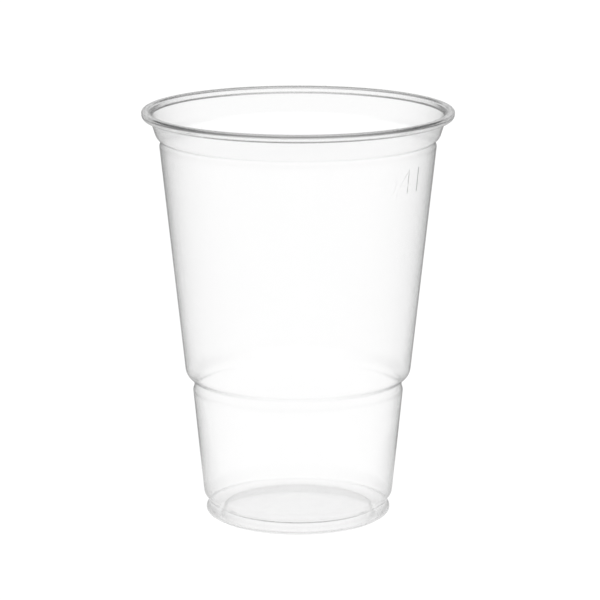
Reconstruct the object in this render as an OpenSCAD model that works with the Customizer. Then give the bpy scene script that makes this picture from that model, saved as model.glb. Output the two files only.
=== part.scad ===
// Tall clear cup for cold drinks, formed in one piece from thin plastic sheet.
// The cup stands on its foot ring at z = 0, with its axis along z.
// Every size of the outside is given at its sharp corners, before they are rounded.

/* [Cup] */
// Height of the cup over its rim
cup_h = 126.2; // [100:0.1:150]
// Thickness of the formed sheet
sheet = 0.35; // [0.25:0.05:0.45]

/* [Rolled rim] */
// Diameter over the rolled rim
rim_d = 94.8; // [75:0.1:115]
// Width of the rolled rim across its section
rim_w = 2.95; // [2.6:0.05:3.6]
// Height of the rolled rim
rim_h = 2.4; // [2:0.05:3]
// How far the rolled rim's outer side leans in toward its foot
rim_lean = 0.35; // [0.2:0.05:0.5]
// Thickness of the gathered sheet on the rolled rim's inner side
roll_inner_t = 0.85; // [0.7:0.05:1.05]
// Thickness of the gathered sheet over the rolled rim's top
roll_top_t = 0.8; // [0.6:0.05:0.95]
// Thickness of the gathered sheet on the rolled rim's outer side
roll_outer_t = 0.6; // [0.5:0.05:0.7]
// Thickness of the sheet's edge, curled under the rolled rim
curl_t = 0.5; // [0.4:0.05:0.6]
// Gap between the collar and the curled edge
curl_gap = 0.3; // [0.2:0.05:0.4]
// Radius from the inside of the cup over the rolled rim
rim_inner_round = 1.8; // [1.4:0.1:2.2]
// Radius of the rolled rim's outer top corner
rim_outer_round = 0.8; // [0.6:0.05:1]
// Radius of the rolled rim's outer foot
rim_foot_round = 1.2; // [0.9:0.05:1.5]
// Radius of the curled edge's lower corner
curl_round = 0.45; // [0.35:0.05:0.55]
// Radius of the curled edge's upper corner, where the sheet was trimmed
trim_round = 0.1; // [0.05:0.05:0.15]
// Radius in the corners of the rolled rim's hollow
hollow_round = 0.4; // [0.3:0.05:0.5]

/* [Collar] */
// How far the collar's lower corner lies inside the rim's inner edge
collar_inset = 1.45; // [1.1:0.05:1.8]
// Drop from the rim's top to the collar's lower corner
collar_drop = 7.9; // [6.3:0.1:12]
// Radius of the collar's lower corner
collar_round = 3; // [2:0.1:4]
// How far the collar stands out over the upper wall
collar_overhang = 1; // [0.8:0.05:1.5]
// Height of the groove below the collar
collar_groove_h = 1.6; // [1.2:0.1:2.5]

/* [Upper wall] */
// Slope of the upper wall from the vertical, in degrees
upper_draft = 6.22; // [4.5:0.02:8]

/* [Grip step] */
// Height of the grip step's corner above the table
step_z = 45; // [34:0.1:60]
// Radius of the grip step's corner
step_round = 3.5; // [2.5:0.1:4.5]
// How far the grip step stands out over the lower wall
step_overhang = 2.15; // [1.7:0.05:2.6]
// Height of the groove below the grip step
step_groove_h = 3; // [2.4:0.1:3.8]

/* [Grooves] */
// Slope of a shoulder's underside from the vertical, in degrees
under_angle = 48; // [38:1:60]
// Depth of the groove below a shoulder
groove_depth = 0.4; // [0.3:0.05:0.5]
// Height over which the wall draws in to its groove
groove_run = 0.75; // [0.6:0.05:0.95]
// Radius where a groove turns
groove_round = 1.4; // [1.1:0.1:1.7]
// Radius of the wall's lip below a groove
lip_round = 1; // [0.8:0.05:1.2]

/* [Lower wall] */
// Slope of the lower wall from the vertical, in degrees
lower_draft = 5.71; // [4:0.01:7.5]
// Radius of the heel at the lower wall's foot
heel_round = 2.8; // [1.5:0.1:3.6]

/* [Foot] */
// How far the neck lies inside the heel
neck_inset = 1.97; // [1.5:0.01:2.4]
// Rise from the neck to the heel
neck_rise = 3; // [2.4:0.1:4]
// Radius of the neck
neck_round = 1.05; // [0.7:0.05:1.3]
// How far the foot's bead stands out over the neck
bead_overhang = 2.25; // [1.8:0.05:2.7]
// Rise from the bead's widest line to the neck
bead_rise = 2.25; // [1.8:0.05:2.7]
// Height of the bead's widest line above the table
bead_z = 2.15; // [1.7:0.05:2.6]
// Radius of the bead
bead_round = 1.55; // [1.2:0.05:1.9]
// How far the foot's flat land lies inside the bead
land_inset = 3.7; // [3:0.1:4.4]
// Width of the flat land
land_w = 2.2; // [1.8:0.1:2.8]
// Radius from the land up to the bead
land_outer_round = 2.8; // [1.5:0.1:3.4]
// Radius from the land up to the floor
land_inner_round = 0.9; // [0.7:0.05:1.2]

/* [Floor] */
// Lift of the floor's underside above the table
floor_lift = 2.7; // [2:0.1:3.4]
// How far the floor's edge lies inside the land
floor_inset = 1.05; // [0.8:0.05:1.4]
// Radius of the floor's edge
floor_round = 0.5; // [0.3:0.05:0.8]

/* [Hidden] */
// Largest share of an edge that its two rounded corners take up
round_share = 0.96;
// Largest turn of one straight piece of a rounded corner, in degrees
turn_step = 12;
turns_round_axis = 180;

// Rolled rim, whose sharp outer top corner lies outside its widest line
rim_side_angle = atan(rim_lean / rim_h);
rim_corner_r = rim_d / 2 + rim_outer_round * (tan(rim_side_angle) + 1 / cos(rim_side_angle) - 1);
rim_inner_r = rim_d / 2 - rim_w;
rim_low_z = cup_h - rim_h;

// A shoulder's underside runs from its corner down to the top of the groove over the wall below
function groove_top_z(corner_z, overhang) =
    corner_z - (overhang + groove_depth) / tan(under_angle);

// Collar and upper wall
collar_r = rim_inner_r - collar_inset;
collar_z = cup_h - collar_drop;
upper_top_r = collar_r - collar_overhang;
upper_top_z = groove_top_z(collar_z, collar_overhang) - collar_groove_h;
upper_low_r = upper_top_r - (upper_top_z - step_z) * tan(upper_draft);

// Grip step, lower wall and foot
neck_z = bead_z + bead_rise;
heel_z = neck_z + neck_rise;
lower_top_r = upper_low_r - step_overhang;
lower_top_z = groove_top_z(step_z, step_overhang) - step_groove_h;
heel_r = lower_top_r - (lower_top_z - heel_z) * tan(lower_draft);
neck_r = heel_r - neck_inset;
bead_r = neck_r + bead_overhang;
land_outer_r = bead_r - land_inset;
land_inner_r = land_outer_r - land_w;
floor_r = land_inner_r - floor_inset;

// Hollow of the rolled rim, which opens down between the collar and the curled edge
hollow_top_z = cup_h - roll_top_t;
hollow_low_z = rim_low_z + curl_t;
hollow_inner_r = rim_inner_r + roll_inner_t;
hollow_outer_r = rim_corner_r - roll_outer_t;
curl_r = collar_face(hollow_low_z) + curl_gap;

// Radius of the collar's outside at a height between its lower corner and the hollow
function collar_face(z) =
    collar_r + (hollow_inner_r - collar_r) * (z - collar_z) / (hollow_top_z - collar_z);

// Corners of a groove and of the shoulder over it, from the wall's lip up.
// A corner is [r, z, rounding].
function shoulder(wall_r, wall_z, groove_h, corner_r, corner_z, corner_round) = [
    [wall_r, wall_z, lip_round],
    [wall_r - groove_depth, wall_z + groove_run, groove_round],
    [wall_r - groove_depth, wall_z + groove_h, groove_round],
    [corner_r, corner_z, corner_round]
];

foot_corners = [
    [0, floor_lift, 0],
    [floor_r, floor_lift, floor_round],
    [land_inner_r, 0, land_inner_round],
    [land_outer_r, 0, land_outer_round],
    [bead_r, bead_z, bead_round],
    [neck_r, neck_z, neck_round],
    [heel_r, heel_z, heel_round]
];

// The sheet's underside and outside, from the floor's centre to the rim's inner edge
sheet_corners = concat(
    foot_corners,
    shoulder(lower_top_r, lower_top_z, step_groove_h, upper_low_r, step_z, step_round),
    shoulder(upper_top_r, upper_top_z, collar_groove_h, collar_r, collar_z, collar_round),
    [[rim_inner_r + sheet, cup_h - sheet, 0]]
);

// The rolled rim, from the collar round its hollow and the curled edge, then back over its top
rim_corners = [
    [hollow_inner_r, hollow_top_z, hollow_round],
    [hollow_outer_r, hollow_top_z, hollow_round],
    [hollow_outer_r - rim_lean, hollow_low_z, hollow_round],
    [curl_r, hollow_low_z, trim_round],
    [curl_r, rim_low_z, curl_round],
    [rim_corner_r - rim_lean, rim_low_z, rim_foot_round],
    [rim_corner_r, cup_h, rim_outer_round],
    [rim_inner_r, cup_h, rim_inner_round]
];

function point(path, i) = [path[i][0], path[i][1]];
function edge(path, i) = point(path, i + 1) - point(path, i);
function heading(path, i) = edge(path, i) / norm(edge(path, i));
function left_of(v) = [-v[1], v[0]];
function last(path) = len(path) - 1;
function is_end(path, i) = i == 0 || i == last(path);

// Angle that the path turns through at corner i, positive to the left
function turn_at(path, i) =
    let (before = heading(path, i - 1), after = heading(path, i))
    atan2(cross(before, after), before * after);

// Length that the rounded corner i takes up on each of its two edges
function taken(path, i) =
    is_end(path, i) ? 0 : path[i][2] * tan(abs(turn_at(path, i)) / 2);

// Share of what corners i and i + 1 ask for that the edge between them has room for
function room(path, i) =
    let (asked = taken(path, i) + taken(path, i + 1))
    min(1, round_share * norm(edge(path, i)) / max(asked, sheet));

// The path with each rounding limited by its two edges
function fitted(path) = [
    for (i = [0 : last(path)])
        let (limit = is_end(path, i) ? 1 : min(room(path, i - 1), room(path, i)))
        [path[i][0], path[i][1], path[i][2] * limit]
];

// Corner i, set over to the left so that both its edges lie one sheet further in
function inset_point(path, i) =
    let (
        before = heading(path, max(i - 1, 0)),
        after = heading(path, min(i, last(path) - 1))
    )
    point(path, i) + sheet * (left_of(before) + left_of(after)) / (1 + before * after);

// A corner that turns left gets tighter on the inset path, and one that turns right gets wider
function inset_round(path, i) =
    is_end(path, i) ? 0 : path[i][2] - sheet * sign(turn_at(path, i));

function inset(path) = [
    for (i = [0 : last(path)])
        let (p = inset_point(path, i))
        [p[0], p[1], inset_round(path, i)]
];

// Points of the rounded corner i, along an arc that touches both of its edges
function corner_arc(path, i) =
    let (
        turn = turn_at(path, i),
        along = heading(path, i - 1),
        across = sign(turn) * path[i][2] * left_of(along),
        start = point(path, i) - along * taken(path, i),
        steps = ceil(abs(turn) / turn_step)
    )
    [
        for (k = [0 : steps])
            let (a = abs(turn) * k / steps)
            start + across * (1 - cos(a)) + along * path[i][2] * sin(a)
    ];

function rounded(path) = concat(
    [point(path, 0)],
    [for (i = [1 : last(path) - 1]) each corner_arc(path, i)],
    [point(path, last(path))]
);

function reversed(items) = [for (i = [len(items) - 1 : -1 : 0]) items[i]];
function all_but_last(items) = [for (i = [0 : len(items) - 2]) items[i]];

// The whole section: up the sheet's outside, round the rolled rim and down the inside
module sheet_section() {
    face = fitted(sheet_corners);
    section = concat(all_but_last(face), rim_corners, reversed(all_but_last(inset(face))));
    polygon(rounded(fitted(section)));
}

module cup() {
    color([0.9, 0.92, 0.93])
        rotate_extrude($fn = turns_round_axis)
            sheet_section();
}

cup();
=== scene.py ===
"""Looks of a tall clear cup for cold drinks: the formed sheet, its fill mark and a white studio."""

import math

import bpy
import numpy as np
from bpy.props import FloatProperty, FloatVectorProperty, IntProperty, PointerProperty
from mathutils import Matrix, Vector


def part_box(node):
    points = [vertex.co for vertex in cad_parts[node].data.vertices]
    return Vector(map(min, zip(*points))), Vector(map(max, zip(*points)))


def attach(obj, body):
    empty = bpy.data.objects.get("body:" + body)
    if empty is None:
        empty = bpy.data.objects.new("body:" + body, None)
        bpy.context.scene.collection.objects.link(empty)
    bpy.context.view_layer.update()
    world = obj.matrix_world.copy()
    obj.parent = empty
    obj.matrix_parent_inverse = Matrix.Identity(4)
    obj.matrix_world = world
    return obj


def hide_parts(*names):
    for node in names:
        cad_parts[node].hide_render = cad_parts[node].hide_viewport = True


bl_info = {
    "name": "Clear Drinks Cup",
    "version": (1, 0, 0),
    "blender": (4, 5, 0),
    "location": "3D View > Sidebar > Cup",
    "description": "Builds a clear one-piece cup around its packed solid, and a white studio",
    "category": "Add Mesh",
}

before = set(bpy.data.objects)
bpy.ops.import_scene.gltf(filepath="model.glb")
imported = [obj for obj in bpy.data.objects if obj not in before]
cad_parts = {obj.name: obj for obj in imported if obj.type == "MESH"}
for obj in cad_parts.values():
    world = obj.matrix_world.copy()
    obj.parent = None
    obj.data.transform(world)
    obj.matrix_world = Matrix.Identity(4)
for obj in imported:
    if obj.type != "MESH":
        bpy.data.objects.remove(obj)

MM = 0.001
CUP_NODE = "cup"
CUP_BODY = "root"

# Largest share of an edge that its two rounded corners take up
ROUND_SHARE = 0.96
# Longest edge of the mesh along the outline, in metres
LONGEST_EDGE = 12 * MM
# How far the fine mesh reaches past the fill mark, in shares of its height
MARK_MARGIN = 0.12

# Distances from the axis over which the foot ring's painted shade, a greyer tint, comes in, in metres
FOOT_PAINTED_SHADE_FROM, FOOT_PAINTED_SHADE_FULL = 24 * MM, 26.5 * MM

# Distances from the axis at which the floor that the cup mirrors changes, in metres
FLOOR_CENTRE = 22 * MM
FLOOR_SHADE = 40 * MM
FLOOR_NEAR = 80 * MM
FLOOR_MIDDLE = 180 * MM
FLOOR_FAR = 350 * MM
FLOOR_FARTHEST = 650 * MM
# Half the width of the floor's darker strip behind the cup, before it spreads by its bearings
STRIP_HALF_WIDTH = 36 * MM
# Bearings from the strip's edge at which it is full and at which it ends, in degrees
STRIP_FULL, STRIP_END = 8, 25

# Rises above the level at which the surroundings seen through the cup begin and end to darken,
# in degrees
WHITE_TO, ABOVE_FROM = 20, 45
# Rises at which the mirrored surroundings change: the card is full from the first to the second
# and ends at the third, and the room's walls end at the last
CARD_RISE, CARD_HOLD, CARD_TOP, ROOM_HIGH = 12, 18, 25, 45
# Share of the dark wall that is left where the room's walls end
WALL_AT_HIGH = 0.5
# Bearings from +Y to which the bright card and the dark wall are full and at which they end
CARD_FULL, CARD_END = 10, 45
WALL_FULL, WALL_END = 45, 90

FLOOR_SIDES = 96
SENSOR_WIDTH = 36.0
# Bounces of light that the many faces of the clear cup need
FACE_BOUNCES, VOLUME_BOUNCES = 32, 8
# Keeps a distance above zero where it is divided by
TINY = 1e-9

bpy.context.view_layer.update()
cup_low, cup_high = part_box(CUP_NODE)


def length(name, description, millimetres, low=0.0, high=200.0):
    """A size in metres whose default is given in millimetres."""
    return FloatProperty(
        name=name,
        description=description,
        default=millimetres * MM,
        min=low * MM,
        max=high * MM,
        precision=5,
        subtype="DISTANCE",
        unit="LENGTH",
    )


def degrees(name, description, value):
    """An angle whose default is given in degrees."""
    return FloatProperty(
        name=name,
        description=description,
        default=math.radians(value),
        subtype="ANGLE",
        unit="ROTATION",
    )


def level(name, description, value, high=10.0):
    """A plain number, such as a strength or a share."""
    return FloatProperty(name=name, description=description, default=value, min=0.0, max=high)


def colour(name, description, value):
    """A linear colour."""
    return FloatVectorProperty(
        name=name,
        description=description,
        default=value,
        size=3,
        min=0.0,
        max=1.0,
        subtype="COLOR",
    )


class CupSizes(bpy.types.PropertyGroup):
    """Sizes of the sheet's outside, at its sharp corners, before they are rounded."""

    height: length("Height", "Height over the rim", (cup_high.z - cup_low.z) / MM)
    sheet: length("Sheet", "Thickness of the formed sheet", 0.35)
    rim_diameter: length("Rim diameter", "Diameter over the rolled rim", 94.8)
    rim_width: length("Rim width", "Width of the rolled rim across its section", 2.95)
    rim_height: length("Rim height", "Height of the rolled rim", 2.4)
    rim_lean: length("Rim lean", "How far the rim's outer side leans in toward its foot", 0.35)
    roll_inner: length("Roll inner", "Thickness of the gathered sheet on the inner side", 0.85)
    roll_top: length("Roll top", "Thickness of the gathered sheet over the rim's top", 0.8)
    roll_outer: length("Roll outer", "Thickness of the gathered sheet on the outer side", 0.6)
    curl: length("Curl", "Thickness of the sheet's edge, curled under the rim", 0.5)
    curl_gap: length("Curl gap", "Gap between the collar and the curled edge", 0.3)
    rim_inner_round: length("Rim inner rounding", "Radius from the inside over the rim", 1.8)
    rim_outer_round: length("Rim outer rounding", "Radius of the rim's outer top corner", 0.8)
    rim_foot_round: length("Rim foot rounding", "Radius of the rim's outer foot", 1.2)
    curl_round: length("Curl rounding", "Radius of the curled edge's lower corner", 0.45)
    trim_round: length("Trim rounding", "Radius of the curled edge's trimmed corner", 0.1)
    hollow_round: length("Hollow rounding", "Radius in the corners of the rim's hollow", 0.4)
    collar_inset: length("Collar inset", "How far the collar's corner lies inside the rim", 1.45)
    collar_drop: length("Collar drop", "Drop from the rim's top to the collar's corner", 7.9)
    collar_round: length("Collar rounding", "Radius of the collar's lower corner", 3)
    collar_overhang: length("Collar overhang", "How far the collar stands over the wall", 1)
    collar_groove: length("Collar groove", "Height of the groove below the collar", 1.6)
    upper_draft: degrees("Upper draft", "Slope of the upper wall from the vertical", 6.22)
    step_height: length("Step height", "Height of the grip step's corner above the table", 45)
    step_round: length("Step rounding", "Radius of the grip step's corner", 3.5)
    step_overhang: length("Step overhang", "How far the step stands over the lower wall", 2.15)
    step_groove: length("Step groove", "Height of the groove below the grip step", 3)
    under_angle: degrees("Underside", "Slope of a shoulder's underside from the vertical", 48)
    groove_depth: length("Groove depth", "Depth of the groove below a shoulder", 0.4)
    groove_run: length("Groove run", "Height over which the wall draws in to its groove", 0.75)
    groove_round: length("Groove rounding", "Radius where a groove turns", 1.4)
    lip_round: length("Lip rounding", "Radius of the wall's lip below a groove", 1)
    lower_draft: degrees("Lower draft", "Slope of the lower wall from the vertical", 5.71)
    heel_round: length("Heel rounding", "Radius of the heel at the lower wall's foot", 2.8)
    neck_inset: length("Neck inset", "How far the neck lies inside the heel", 1.97)
    neck_rise: length("Neck rise", "Rise from the neck to the heel", 3)
    neck_round: length("Neck rounding", "Radius of the neck", 1.05)
    bead_overhang: length("Bead overhang", "How far the foot's bead stands over the neck", 2.25)
    bead_rise: length("Bead rise", "Rise from the bead's widest line to the neck", 2.25)
    bead_height: length("Bead height", "Height of the bead's widest line", 2.15)
    bead_round: length("Bead rounding", "Radius of the bead", 1.55)
    land_inset: length("Land inset", "How far the flat land lies inside the bead", 3.7)
    land_width: length("Land width", "Width of the flat land", 2.2)
    land_outer_round: length("Land outer rounding", "Radius from the land to the bead", 2.8)
    land_inner_round: length("Land inner rounding", "Radius from the land to the floor", 0.9)
    floor_lift: length("Floor lift", "Lift of the floor's underside above the table", 2.7)
    floor_inset: length("Floor inset", "How far the floor's edge lies inside the land", 1.05)
    floor_round: length("Floor rounding", "Radius of the floor's edge", 0.5)
    columns: IntProperty(
        name="Columns",
        description="Mesh columns around the plain part of the cup",
        default=180,
        min=24,
        max=360,
    )
    turn_step: degrees("Turn step", "Largest turn of one straight piece of a round corner", 8)


class FillMark(bpy.types.PropertyGroup):
    """The embossed fill mark on the upper wall."""

    height: length("Height", "Height of the numerals", 7)
    base: length("Base", "Height of the numerals' foot above the table", 105.1)
    azimuth: degrees("Azimuth", "Where the mark's middle lies, to the right of the front", 49)
    relief: length("Relief", "How far the strokes stand out of the wall", 0.1)
    stroke: length("Stroke", "Width of a stroke", 0.6)
    grid: length("Grid", "Mesh spacing across the mark", 0.25)


class ClearPlastic(bpy.types.PropertyGroup):
    """Finish of the clear sheet."""

    tint: level("Tint", "Share of light that passes the walls and the floor", 1.0, 1.0)
    # Painted shade: the collar under the rim and the foot ring let less light through than the rest of
    # the same clear sheet
    collar_painted_shade: level("Collar tint", "Share of light that passes the collar", 0.96, 1.0)
    foot_painted_shade: level("Foot tint", "Share of light that passes the foot ring", 0.94, 1.0)
    ior: level("Refraction", "Index of refraction of the plastic", 1.49)
    gloss: level("Gloss", "Roughness where the sheet is glossiest", 0.06, 1.0)
    haze: level("Haze", "Roughness where the sheet is dullest", 0.11, 1.0)
    density: level("Absorption", "How strongly the sheet absorbs light, per metre", 5.0, 500.0)
    absorb: colour("Absorption tint", "Colour of light that thick sheet lets through", (0.80, 0.82, 0.84))
    milk: level("Milkiness", "How strongly the sheet scatters light, per metre", 20.0, 500.0)
    milk_forward: level("Milk forward", "How far scattered light keeps its direction", 0.3, 1.0)
    draw_width: length("Draw width", "Width of the faint waves that run down the walls", 5)
    draw_stretch: level("Draw stretch", "How much longer than wide those waves are", 12.0, 100.0)
    draw_depth: length("Draw depth", "Depth of those waves", 0.002)


class Studio(bpy.types.PropertyGroup):
    """The white floor, the surroundings and the camera."""

    white: level("White", "Brightness of the floor and of the surroundings behind the cup", 1.08)
    above: level("Above", "Brightness of the surroundings overhead, through the cup", 0.6)
    floor_centre: level("Floor centre", "Brightness mirrored from the floor under the cup", 0.98)
    floor_shade: level("Floor shade", "Brightness mirrored from the floor round the foot", 0.66)
    floor_near: level("Floor near", "Brightness mirrored from the floor near the cup", 0.75)
    floor_middle: level("Floor middle", "Brightness mirrored from the floor further out", 0.73)
    floor_far: level("Floor far", "Brightness mirrored from the floor far from the cup", 0.68)
    floor_farthest: level("Floor farthest", "Brightness mirrored from the farthest floor", 0.4)
    floor_behind: level("Floor behind", "Brightness mirrored from the strip behind the cup", 0.2)
    room_low: level("Room low", "Brightness mirrored from the level of the floor", 0.7)
    room_side: level("Room side", "Brightness mirrored from the room's walls", 0.42)
    room_top: level("Room top", "Brightness mirrored from overhead", 1.2)
    wall: level("Dark wall", "Brightness mirrored from the wall behind the cup", 0.02)
    card: level("Card", "Brightness mirrored from the bright card low on that wall", 1.1)
    floor_radius: length("Floor radius", "Radius of the floor", 4000, high=20000)
    distance: length("Camera distance", "Level distance from the cup's axis", 1110.9, high=5000)
    camera_height: length("Camera height", "Height of the camera above the table", 308.2, high=5000)
    pitch: degrees("Pitch", "How far the camera looks down", 12.237)
    aside: degrees("Aside", "How far the camera turns to the right of the axis", 0.0308)
    lens: FloatProperty(
        name="Lens",
        description="Focal length of the camera on a 36 mm sensor, in millimetres",
        default=223.25,
        min=20,
        max=400,
    )
    softness: level("Softness", "Width of the camera's pixel filter, in pixels", 1.8)


class Corner:
    """A corner of the sheet's outline: its radius from the axis, its height and its rounding."""

    def __init__(self, r, z, rounding=0.0):
        self.at = np.array((r, z), float)
        self.rounding = rounding


def left_of(v):
    """The vector a quarter turn to the left of v."""
    return np.array((-v[1], v[0]))


def headings(corners):
    """Unit vectors along the edges between corners."""
    steps = [b.at - a.at for a, b in zip(corners, corners[1:])]
    return [s / np.linalg.norm(s) for s in steps]


def turn_between(before, after):
    """Angle from one heading to the next, positive to the left."""
    return math.atan2(before[0] * after[1] - before[1] * after[0], float(before @ after))


def groove_top(s, corner_z, overhang):
    """Height at which a shoulder's underside meets the groove below it."""
    return corner_z - (overhang + s.groove_depth) / math.tan(s.under_angle)


def rim_inner(s):
    """Radius of the rim's inner edge."""
    return s.rim_diameter / 2 - s.rim_width


def upper_wall_top(s):
    """Radius and height of the upper wall's top, where the groove under the collar begins."""
    collar_low = groove_top(s, s.height - s.collar_drop, s.collar_overhang)
    return rim_inner(s) - s.collar_inset - s.collar_overhang, collar_low - s.collar_groove


def upper_wall_radius(s, z):
    """Radius of the upper wall's outside at a height."""
    top_r, top_z = upper_wall_top(s)
    return top_r - (top_z - z) * math.tan(s.upper_draft)


def shoulder(s, wall_r, wall_z, groove_height, corner_r, corner_z, rounding):
    """Corners of a groove and of the shoulder over it, from the wall's lip up."""
    groove_r = wall_r - s.groove_depth
    return [
        Corner(wall_r, wall_z, s.lip_round),
        Corner(groove_r, wall_z + s.groove_run, s.groove_round),
        Corner(groove_r, wall_z + groove_height, s.groove_round),
        Corner(corner_r, corner_z, rounding),
    ]


def sheet_corners(s):
    """Corners of the sheet's underside and outside, from the floor's centre to the rim."""
    upper_top_r, upper_top_z = upper_wall_top(s)
    upper_low_r = upper_wall_radius(s, s.step_height)
    lower_top_r = upper_low_r - s.step_overhang
    lower_top_z = groove_top(s, s.step_height, s.step_overhang) - s.step_groove
    neck_z = s.bead_height + s.bead_rise
    heel_z = neck_z + s.neck_rise
    heel_r = lower_top_r - (lower_top_z - heel_z) * math.tan(s.lower_draft)
    neck_r = heel_r - s.neck_inset
    bead_r = neck_r + s.bead_overhang
    land_outer = bead_r - s.land_inset
    land_inner = land_outer - s.land_width
    foot = [
        Corner(0.0, s.floor_lift),
        Corner(land_inner - s.floor_inset, s.floor_lift, s.floor_round),
        Corner(land_inner, 0.0, s.land_inner_round),
        Corner(land_outer, 0.0, s.land_outer_round),
        Corner(bead_r, s.bead_height, s.bead_round),
        Corner(neck_r, neck_z, s.neck_round),
        Corner(heel_r, heel_z, s.heel_round),
    ]
    step = shoulder(
        s, lower_top_r, lower_top_z, s.step_groove, upper_low_r, s.step_height, s.step_round
    )
    collar = shoulder(
        s,
        upper_top_r,
        upper_top_z,
        s.collar_groove,
        upper_top_r + s.collar_overhang,
        s.height - s.collar_drop,
        s.collar_round,
    )
    return foot + step + collar + [Corner(rim_inner(s) + s.sheet, s.height - s.sheet)]


def rim_corners(s):
    """Corners of the rolled rim, round its hollow and the curled edge and back over its top."""
    side_angle = math.atan(s.rim_lean / s.rim_height)
    past_edge = math.tan(side_angle) + 1 / math.cos(side_angle) - 1
    outer = s.rim_diameter / 2 + s.rim_outer_round * past_edge
    inner = rim_inner(s)
    low = s.height - s.rim_height
    hollow_top = s.height - s.roll_top
    hollow_low = low + s.curl
    hollow_inner = inner + s.roll_inner
    hollow_outer = outer - s.roll_outer
    collar_r = inner - s.collar_inset
    collar_z = s.height - s.collar_drop
    rise = (hollow_low - collar_z) / (hollow_top - collar_z)
    curl_r = collar_r + (hollow_inner - collar_r) * rise + s.curl_gap
    return [
        Corner(hollow_inner, hollow_top, s.hollow_round),
        Corner(hollow_outer, hollow_top, s.hollow_round),
        Corner(hollow_outer - s.rim_lean, hollow_low, s.hollow_round),
        Corner(curl_r, hollow_low, s.trim_round),
        Corner(curl_r, low, s.curl_round),
        Corner(outer - s.rim_lean, low, s.rim_foot_round),
        Corner(outer, s.height, s.rim_outer_round),
        Corner(inner, s.height, s.rim_inner_round),
    ]


def fitted(corners, least):
    """The same corners, with each rounding limited by the two edges that it lies on."""
    along = headings(corners)
    asked = [0.0] * len(corners)
    for i in range(1, len(corners) - 1):
        turn = turn_between(along[i - 1], along[i])
        asked[i] = corners[i].rounding * math.tan(abs(turn) / 2)
    room = []
    for i, (a, b) in enumerate(zip(corners, corners[1:])):
        span = ROUND_SHARE * float(np.linalg.norm(b.at - a.at))
        room.append(min(1.0, span / max(asked[i] + asked[i + 1], least)))
    limits = [1.0] + [min(pair) for pair in zip(room, room[1:])] + [1.0]
    return [Corner(*c.at, c.rounding * limit) for c, limit in zip(corners, limits)]


def inset_corners(corners, sheet):
    """The same corners set over to the left, so that every edge lies one sheet further in."""
    along = headings(corners)
    moved = []
    for i, corner in enumerate(corners):
        before = along[max(i - 1, 0)]
        after = along[min(i, len(along) - 1)]
        at = corner.at + sheet * (left_of(before) + left_of(after)) / (1 + before @ after)
        inner = 0 < i < len(corners) - 1
        side = math.copysign(1.0, turn_between(before, after))
        moved.append(Corner(at[0], at[1], corner.rounding - sheet * side if inner else 0.0))
    return moved


def rounded(corners, turn_step):
    """Points of the outline, with each corner as an arc that touches both of its edges."""
    along = headings(corners)
    points = [corners[0].at]
    for i in range(1, len(corners) - 1):
        corner, before, after = corners[i], along[i - 1], along[i]
        turn = turn_between(before, after)
        radius = corner.rounding
        start = corner.at - before * radius * math.tan(abs(turn) / 2)
        across = left_of(before) * math.copysign(radius, turn)
        steps = max(1, math.ceil(abs(turn) / turn_step))
        for k in range(steps + 1):
            a = abs(turn) * k / steps
            points.append(start + across * (1 - math.cos(a)) + before * radius * math.sin(a))
    points.append(corners[-1].at)
    return points


def cup_outline(s):
    """The whole section: up the sheet's outside, round the rolled rim and down the inside."""
    face = fitted(sheet_corners(s), s.sheet)
    inside = inset_corners(face, s.sheet)
    section = face[:-1] + rim_corners(s) + inside[-2::-1]
    return rounded(fitted(section, s.sheet), s.turn_step)


def split_long(points, low_z, high_z, spacing, longest):
    """The same outline, with its straight stretches cut fine between two heights."""
    cut = [points[0]]
    for a, b in zip(points, points[1:]):
        stops = {0.0, 1.0}
        rise = b[1] - a[1]
        span = float(np.linalg.norm(b - a))
        if abs(rise) > spacing:
            shares = sorted(((low_z - a[1]) / rise, (high_z - a[1]) / rise))
            first, second = max(shares[0], 0.0), min(shares[1], 1.0)
            if second > first:
                count = max(1, round((second - first) * abs(rise) / spacing))
                stops |= {first + (second - first) * k / count for k in range(count + 1)}
        ordered = sorted(stops)
        for t, u in zip(ordered, ordered[1:]):
            parts = max(1, math.ceil((u - t) * span / longest))
            cut += [a + (b - a) * (t + (u - t) * k / parts) for k in range(1, parts + 1)]
    return cut


def stroke_profile(distance, half_stroke):
    """Height of a stroke, from 1 on its middle line down to 0 at its edges."""
    share = np.clip(1.0 - distance / half_stroke, 0.0, 1.0)
    return share * share * (3 - 2 * share)


def segment_distance(u, v, a, b):
    """Distance of every point (u, v) from the stroke between a and b."""
    a, b = np.array(a, float), np.array(b, float)
    run = b - a
    t = ((u - a[0]) * run[0] + (v - a[1]) * run[1]) / float(run @ run)
    t = np.clip(t, 0.0, 1.0)
    return np.hypot(u - a[0] - t * run[0], v - a[1] - t * run[1])


def ring_distance(u, v, centre, half_width, half_height):
    """Distance of every point (u, v) from an upright oval line."""
    du = (u - centre[0]) / half_width
    dv = (v - centre[1]) / half_height
    size = np.hypot(du, dv) + TINY
    slope = np.hypot(du / half_width, dv / half_height) / size
    return np.abs(size - 1.0) / np.maximum(slope, TINY)


# The mark's strokes, in shares of the numerals' height, to the right of and above its left foot,
# each with the share of the full relief that it has
MARK_WIDTH = 2.3
ZERO_CENTRE, ZERO_HALF_WIDTH, ZERO_HALF_HEIGHT = (0.36, 0.49), 0.34, 0.47
ZERO_SHARE = 0.9
MARK_STROKES = (
    ((0.78, -0.10), (0.84, 0.06), 0.8),
    ((1.50, 0.0), (1.50, 1.0), 1.0),
    ((1.50, 1.0), (0.94, 0.34), 0.9),
    ((0.94, 0.34), (1.68, 0.34), 0.9),
    ((2.22, 0.0), (2.22, 1.0), 1.0),
)


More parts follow.
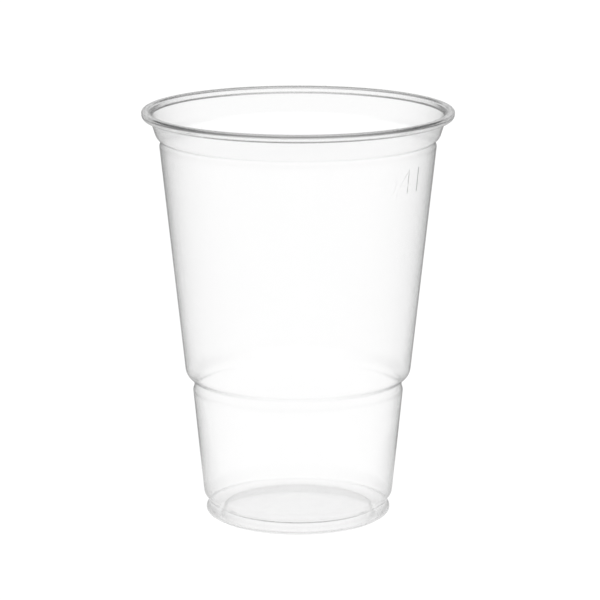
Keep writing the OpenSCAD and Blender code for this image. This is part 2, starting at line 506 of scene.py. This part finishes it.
def mark_relief(mark, u, v):
    """How far the wall stands out at (u, v), in metres along and above the mark's left foot."""
    tall = mark.height
    across, up = u / tall, v / tall
    half_stroke = mark.stroke / 2 / tall
    zero = ring_distance(across, up, ZERO_CENTRE, ZERO_HALF_WIDTH, ZERO_HALF_HEIGHT)
    raised = ZERO_SHARE * stroke_profile(zero, half_stroke)
    for a, b, share in MARK_STROKES:
        distance = segment_distance(across, up, a, b)
        raised = np.maximum(raised, share * stroke_profile(distance, half_stroke))
    return mark.relief * raised


def column_angles(sizes, mark, wall_r):
    """Angles of the mesh columns around the axis, close together across the mark."""
    middle = mark.azimuth - math.pi / 2
    half = (MARK_WIDTH * mark.height / 2 + mark.stroke) / wall_r
    plain = max(3, round(sizes.columns * (1 - half / math.pi)))
    fine = max(2, round(2 * half * wall_r / mark.grid))
    start = middle + half
    sweep = 2 * math.pi - 2 * half
    around = [start + sweep * k / plain for k in range(plain)]
    across = [middle - half + 2 * half * k / fine for k in range(fine)]
    return np.array(around + across)


def lathe(name, outline, angles):
    """A closed mesh turned from an outline that begins and ends on the axis."""
    columns = len(angles)
    rings = np.array(outline[1:-1])
    radii, heights = rings[:, 0], rings[:, 1]
    ring_points = np.stack(
        [
            radii[:, None] * np.cos(angles)[None, :],
            radii[:, None] * np.sin(angles)[None, :],
            np.repeat(heights[:, None], columns, axis=1),
        ],
        axis=-1,
    ).reshape(-1, 3)
    poles = [(0.0, 0.0, outline[0][1]), (0.0, 0.0, outline[-1][1])]
    points = np.vstack([ring_points, poles])
    first_pole, last_pole = len(points) - 2, len(points) - 1
    faces = []
    for row in range(len(rings) - 1):
        here, above = row * columns, (row + 1) * columns
        for k in range(columns):
            n = (k + 1) % columns
            faces.append((here + k, here + n, above + n, above + k))
    top = (len(rings) - 1) * columns
    for k in range(columns):
        n = (k + 1) % columns
        faces.append((first_pole, n, k))
        faces.append((last_pole, top + k, top + n))
    mesh = bpy.data.meshes.new(name)
    mesh.from_pydata(points.tolist(), [], faces)
    mesh.polygons.foreach_set("use_smooth", [True] * len(mesh.polygons))
    mesh.update()
    piece = bpy.data.objects.new(name, mesh)
    bpy.context.scene.collection.objects.link(piece)
    return piece


def emboss(mesh, mark, wall_r):
    """Presses the fill mark out of the wall, on both faces of the sheet."""
    points = np.empty(len(mesh.vertices) * 3)
    mesh.vertices.foreach_get("co", points)
    points = points.reshape(-1, 3)
    radius = np.hypot(points[:, 0], points[:, 1])
    angle = np.arctan2(points[:, 1], points[:, 0]) - (mark.azimuth - math.pi / 2)
    along = angle * wall_r + MARK_WIDTH * mark.height / 2
    above = points[:, 2] - mark.base
    share = 1.0 + mark_relief(mark, along, above) / np.maximum(radius, MM)
    points[:, 0] *= share
    points[:, 1] *= share
    mesh.vertices.foreach_set("co", points.ravel())
    mesh.update()


def feed(tree, value, socket):
    """Sets a socket to a number, or links another socket to it."""
    if isinstance(value, bpy.types.NodeSocket):
        tree.links.new(value, socket)
    else:
        socket.default_value = value


def reckon(tree, operation, first, second):
    """A socket with the result of a Math node on two values."""
    node = tree.nodes.new("ShaderNodeMath")
    node.operation = operation
    feed(tree, first, node.inputs[0])
    feed(tree, second, node.inputs[1])
    return node.outputs["Value"]


def length_of(tree, vector):
    """A socket with the length of a vector."""
    node = tree.nodes.new("ShaderNodeVectorMath")
    node.operation = "LENGTH"
    feed(tree, vector, node.inputs[0])
    return node.outputs["Value"]


def blend(tree, share, first, second):
    """A socket that goes from first to second as share goes from 0 to 1."""
    node = tree.nodes.new("ShaderNodeMix")
    feed(tree, share, node.inputs["Factor"])
    feed(tree, first, node.inputs["A"])
    feed(tree, second, node.inputs["B"])
    return node.outputs["Result"]


def share_of(tree, value, none_at, full_at):
    """A socket that goes from 0 to 1 as value goes from none_at to full_at."""
    node = tree.nodes.new("ShaderNodeMapRange")
    node.inputs["From Min"].default_value = none_at
    node.inputs["From Max"].default_value = full_at
    feed(tree, value, node.inputs["Value"])
    return node.outputs["Result"]


def ramp(tree, value, stops):
    """A socket that follows straight lines between stops, which pair a value with a brightness."""
    highest = max(glow for _, glow in stops)
    node = tree.nodes.new("ShaderNodeValToRGB")
    elements = node.color_ramp.elements
    while len(elements) < len(stops):
        elements.new(1.0)
    for element, (place, glow) in zip(elements, stops):
        element.position = place
        element.color = (glow / highest, glow / highest, glow / highest, 1.0)
    feed(tree, value, node.inputs["Fac"])
    return reckon(tree, "MULTIPLY", node.outputs["Color"], highest)


def tint_with_painted_shade(tree, place, finish, sizes):
    """A socket with the share of light that passes a face: less in the collar and the foot ring, as
    painted shade.
    """
    split = tree.nodes.new("ShaderNodeSeparateXYZ")
    feed(tree, place, split.inputs["Vector"])
    level_place = tree.nodes.new("ShaderNodeCombineXYZ")
    feed(tree, split.outputs["X"], level_place.inputs["X"])
    feed(tree, split.outputs["Y"], level_place.inputs["Y"])
    radius = length_of(tree, level_place.outputs["Vector"])
    rise = split.outputs["Z"]
    collar_z = sizes.height - sizes.collar_drop
    collar_low = groove_top(sizes, collar_z, sizes.collar_overhang)
    rim_low = sizes.height - sizes.rim_height
    neck_z = sizes.bead_height + sizes.bead_rise
    # Painted shade under the rim, from the collar's groove up to the rim's foot
    over_groove = share_of(tree, rise, collar_low, collar_z)
    under_rim = share_of(tree, rise, rim_low + sizes.curl, rim_low)
    collar_shade_share = reckon(tree, "MULTIPLY", over_groove, under_rim)
    # Painted shade in the foot ring, below the neck and outside the flat land
    under_neck = share_of(tree, rise, neck_z, neck_z - sizes.neck_round)
    past_land = share_of(tree, radius, FOOT_PAINTED_SHADE_FROM, FOOT_PAINTED_SHADE_FULL)
    foot_shade_share = reckon(tree, "MULTIPLY", under_neck, past_land)
    upper = blend(tree, collar_shade_share, finish.tint, finish.collar_painted_shade)
    return blend(tree, foot_shade_share, upper, finish.foot_painted_shade)


def draw_waves(tree, place, finish):
    """A socket with faint waves, long down the walls, as a drawn sheet has them."""
    stretch = tree.nodes.new("ShaderNodeMapping")
    across = 1.0 / finish.draw_width
    stretch.inputs["Scale"].default_value = (across, across, across / finish.draw_stretch)
    feed(tree, place, stretch.inputs["Vector"])
    waves = tree.nodes.new("ShaderNodeTexNoise")
    waves.inputs["Scale"].default_value = 1.0
    feed(tree, stretch.outputs["Vector"], waves.inputs["Vector"])
    return waves.outputs["Fac"]


def clear_plastic(finish, sizes):
    """Clear formed sheet, slightly milky and wavy, with painted shade that greys the collar and the foot
    ring.
    """
    material = bpy.data.materials.new("clear_plastic")
    material.use_nodes = True
    tree = material.node_tree
    shader = tree.nodes["Principled BSDF"]
    shader.inputs["IOR"].default_value = finish.ior
    shader.inputs["Transmission Weight"].default_value = 1.0
    place = tree.nodes.new("ShaderNodeTexCoord").outputs["Object"]
    # The base colour carries painted shade, which greys the collar and the foot ring
    feed(tree, tint_with_painted_shade(tree, place, finish, sizes), shader.inputs["Base Color"])
    waves = draw_waves(tree, place, finish)
    relief = tree.nodes.new("ShaderNodeBump")
    relief.inputs["Distance"].default_value = finish.draw_depth
    feed(tree, waves, relief.inputs["Height"])
    feed(tree, relief.outputs["Normal"], shader.inputs["Normal"])
    feed(tree, blend(tree, waves, finish.gloss, finish.haze), shader.inputs["Roughness"])
    absorption = tree.nodes.new("ShaderNodeVolumeAbsorption")
    absorption.inputs["Color"].default_value = (*finish.absorb, 1.0)
    absorption.inputs["Density"].default_value = finish.density
    milk = tree.nodes.new("ShaderNodeVolumeScatter")
    milk.inputs["Density"].default_value = finish.milk
    milk.inputs["Anisotropy"].default_value = finish.milk_forward
    both = tree.nodes.new("ShaderNodeAddShader")
    feed(tree, absorption.outputs["Volume"], both.inputs[0])
    feed(tree, milk.outputs["Volume"], both.inputs[1])
    feed(tree, both.outputs["Shader"], tree.nodes["Material Output"].inputs["Volume"])
    return material


def mirrored(tree):
    """A socket that is 1 for light that the cup has mirrored at least once, and otherwise 0."""
    path = tree.nodes.new("ShaderNodeLightPath")
    return reckon(tree, "MINIMUM", path.outputs["Glossy Depth"], 1.0)


def bearing_of(tree, place, half_width):
    """Sockets for Y and Z of a place, and for its bearing from +Y past a half width."""
    split = tree.nodes.new("ShaderNodeSeparateXYZ")
    feed(tree, place, split.inputs["Vector"])
    across = reckon(tree, "ABSOLUTE", split.outputs["X"], 0.0)
    beside = reckon(tree, "SUBTRACT", across, half_width)
    bearing = reckon(tree, "ARCTAN2", beside, split.outputs["Y"])
    return split.outputs["Y"], split.outputs["Z"], bearing


def white_floor(studio):
    """A floor lit to plain white, which the cup mirrors darker further off and behind it."""
    material = bpy.data.materials.new("white_floor")
    material.use_nodes = True
    tree = material.node_tree
    tree.nodes.clear()
    place = tree.nodes.new("ShaderNodeNewGeometry").outputs["Position"]
    share = reckon(tree, "DIVIDE", length_of(tree, place), FLOOR_FARTHEST)
    stops = (
        (FLOOR_CENTRE, studio.floor_centre),
        (FLOOR_SHADE, studio.floor_shade),
        (FLOOR_NEAR, studio.floor_near),
        (FLOOR_MIDDLE, studio.floor_middle),
        (FLOOR_FAR, studio.floor_far),
        (FLOOR_FARTHEST, studio.floor_farthest),
    )
    around = ramp(tree, share, [(r / FLOOR_FARTHEST, glow) for r, glow in stops])
    y, _, bearing = bearing_of(tree, place, STRIP_HALF_WIDTH)
    strip = reckon(
        tree,
        "MULTIPLY",
        share_of(tree, y, FLOOR_SHADE, FLOOR_NEAR),
        share_of(tree, bearing, math.radians(STRIP_END), math.radians(STRIP_FULL)),
    )
    mirrored_floor = blend(tree, strip, around, studio.floor_behind)
    glow = tree.nodes.new("ShaderNodeEmission")
    strength = blend(tree, mirrored(tree), studio.white, mirrored_floor)
    feed(tree, strength, glow.inputs["Strength"])
    output = tree.nodes.new("ShaderNodeOutputMaterial")
    feed(tree, glow.outputs["Emission"], output.inputs["Surface"])
    return material


def height_of(angle):
    """Height of a direction that rises by an angle in degrees, on a sphere of radius 1."""
    return math.sin(math.radians(angle))


def studio_world(studio):
    """Surroundings that are white behind the cup and darker where the cup mirrors them."""
    world = bpy.data.worlds.new("studio")
    world.use_nodes = True
    tree = world.node_tree
    tree.nodes.clear()
    place = tree.nodes.new("ShaderNodeTexCoord").outputs["Generated"]
    _, rise, bearing = bearing_of(tree, place, 0.0)
    low, hold, top, high = (height_of(a) for a in (CARD_RISE, CARD_HOLD, CARD_TOP, ROOM_HIGH))
    seen = ramp(
        tree, rise, ((height_of(WHITE_TO), studio.white), (height_of(ABOVE_FROM), studio.above))
    )
    sides = (0.0, studio.room_low), (low, studio.room_side), (high, studio.room_side)
    room = ramp(tree, rise, (*sides, (1.0, studio.room_top)))
    wall = reckon(
        tree,
        "MULTIPLY",
        share_of(tree, bearing, math.radians(WALL_END), math.radians(WALL_FULL)),
        ramp(tree, rise, ((0.0, 0.0), (low, 1.0), (top, 1.0), (high, WALL_AT_HIGH), (1.0, 0.0))),
    )
    card = reckon(
        tree,
        "MULTIPLY",
        share_of(tree, bearing, math.radians(CARD_END), math.radians(CARD_FULL)),
        ramp(tree, rise, ((0.0, 0.0), (low, 1.0), (hold, 1.0), (top, 0.0))),
    )
    mirrored_room = blend(tree, card, blend(tree, wall, room, studio.wall), studio.card)
    sky = tree.nodes.new("ShaderNodeBackground")
    strength = blend(tree, mirrored(tree), seen, mirrored_room)
    feed(tree, strength, sky.inputs["Strength"])
    output = tree.nodes.new("ShaderNodeOutputWorld")
    feed(tree, sky.outputs["Background"], output.inputs["Surface"])
    return world


class CUP_OT_make_cup(bpy.types.Operator):
    """Makes the clear cup with its fill mark"""

    bl_idname = "cup.make_cup"
    bl_label = "Make Cup"

    def execute(self, context):
        settings = context.scene.cup_settings
        sizes, mark = settings.sizes, settings.mark
        mark_low = mark.base - mark.height * MARK_MARGIN
        mark_high = mark.base + mark.height * (1 + MARK_MARGIN)
        outline = split_long(cup_outline(sizes), mark_low, mark_high, mark.grid, LONGEST_EDGE)
        wall_r = upper_wall_radius(sizes, mark.base)
        cup = lathe("clear_cup", outline, column_angles(sizes, mark, wall_r))
        emboss(cup.data, mark, wall_r)
        cup.data.materials.append(clear_plastic(settings.plastic, sizes))
        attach(cup, CUP_BODY)
        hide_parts(CUP_NODE)
        return {"FINISHED"}


class CUP_OT_make_stage(bpy.types.Operator):
    """Makes the white floor, the studio's surroundings and the camera"""

    bl_idname = "cup.make_stage"
    bl_label = "Make Stage"

    def execute(self, context):
        studio = context.scene.cup_settings.studio
        scene = context.scene
        bpy.ops.mesh.primitive_circle_add(
            vertices=FLOOR_SIDES,
            radius=studio.floor_radius,
            fill_type="NGON",
            location=(0, 0, cup_low.z),
        )
        floor = context.object
        floor.name = "white_floor"
        floor.data.materials.append(white_floor(studio))
        scene.world = studio_world(studio)
        lens = bpy.data.cameras.new("photo_camera")
        lens.lens = studio.lens
        lens.sensor_width = SENSOR_WIDTH
        camera = bpy.data.objects.new("photo_camera", lens)
        camera.location = (0.0, -studio.distance, studio.camera_height)
        camera.rotation_euler = (math.pi / 2 - studio.pitch, 0.0, -studio.aside)
        scene.collection.objects.link(camera)
        scene.camera = camera
        scene.view_settings.view_transform = "Standard"
        scene.cycles.max_bounces = FACE_BOUNCES
        scene.cycles.transmission_bounces = FACE_BOUNCES
        scene.cycles.glossy_bounces = FACE_BOUNCES
        scene.cycles.volume_bounces = VOLUME_BOUNCES
        scene.cycles.filter_width = studio.softness
        return {"FINISHED"}


class CupSettings(bpy.types.PropertyGroup):
    """All settings of the cup and its studio."""

    sizes: PointerProperty(type=CupSizes)
    mark: PointerProperty(type=FillMark)
    plastic: PointerProperty(type=ClearPlastic)
    studio: PointerProperty(type=Studio)


class CUP_PT_panel(bpy.types.Panel):
    """Buttons for the cup and its studio"""

    bl_idname = "CUP_PT_panel"
    bl_label = "Clear Drinks Cup"
    bl_space_type = "VIEW_3D"
    bl_region_type = "UI"
    bl_category = "Cup"

    def draw(self, context):
        self.layout.operator(CUP_OT_make_cup.bl_idname)
        self.layout.operator(CUP_OT_make_stage.bl_idname)


CLASSES = (
    CupSizes,
    FillMark,
    ClearPlastic,
    Studio,
    CupSettings,
    CUP_OT_make_cup,
    CUP_OT_make_stage,
    CUP_PT_panel,
)


def register():
    """Registers the classes and the scene's settings."""
    for each in CLASSES:
        bpy.utils.register_class(each)
    bpy.types.Scene.cup_settings = PointerProperty(type=CupSettings)


def unregister():
    """Removes the scene's settings and the classes."""
    del bpy.types.Scene.cup_settings
    for each in reversed(CLASSES):
        bpy.utils.unregister_class(each)


def main():
    """Builds everything in order."""
    register()
    bpy.ops.cup.make_cup()
    bpy.ops.cup.make_stage()


if __name__ == "__main__":
    main()
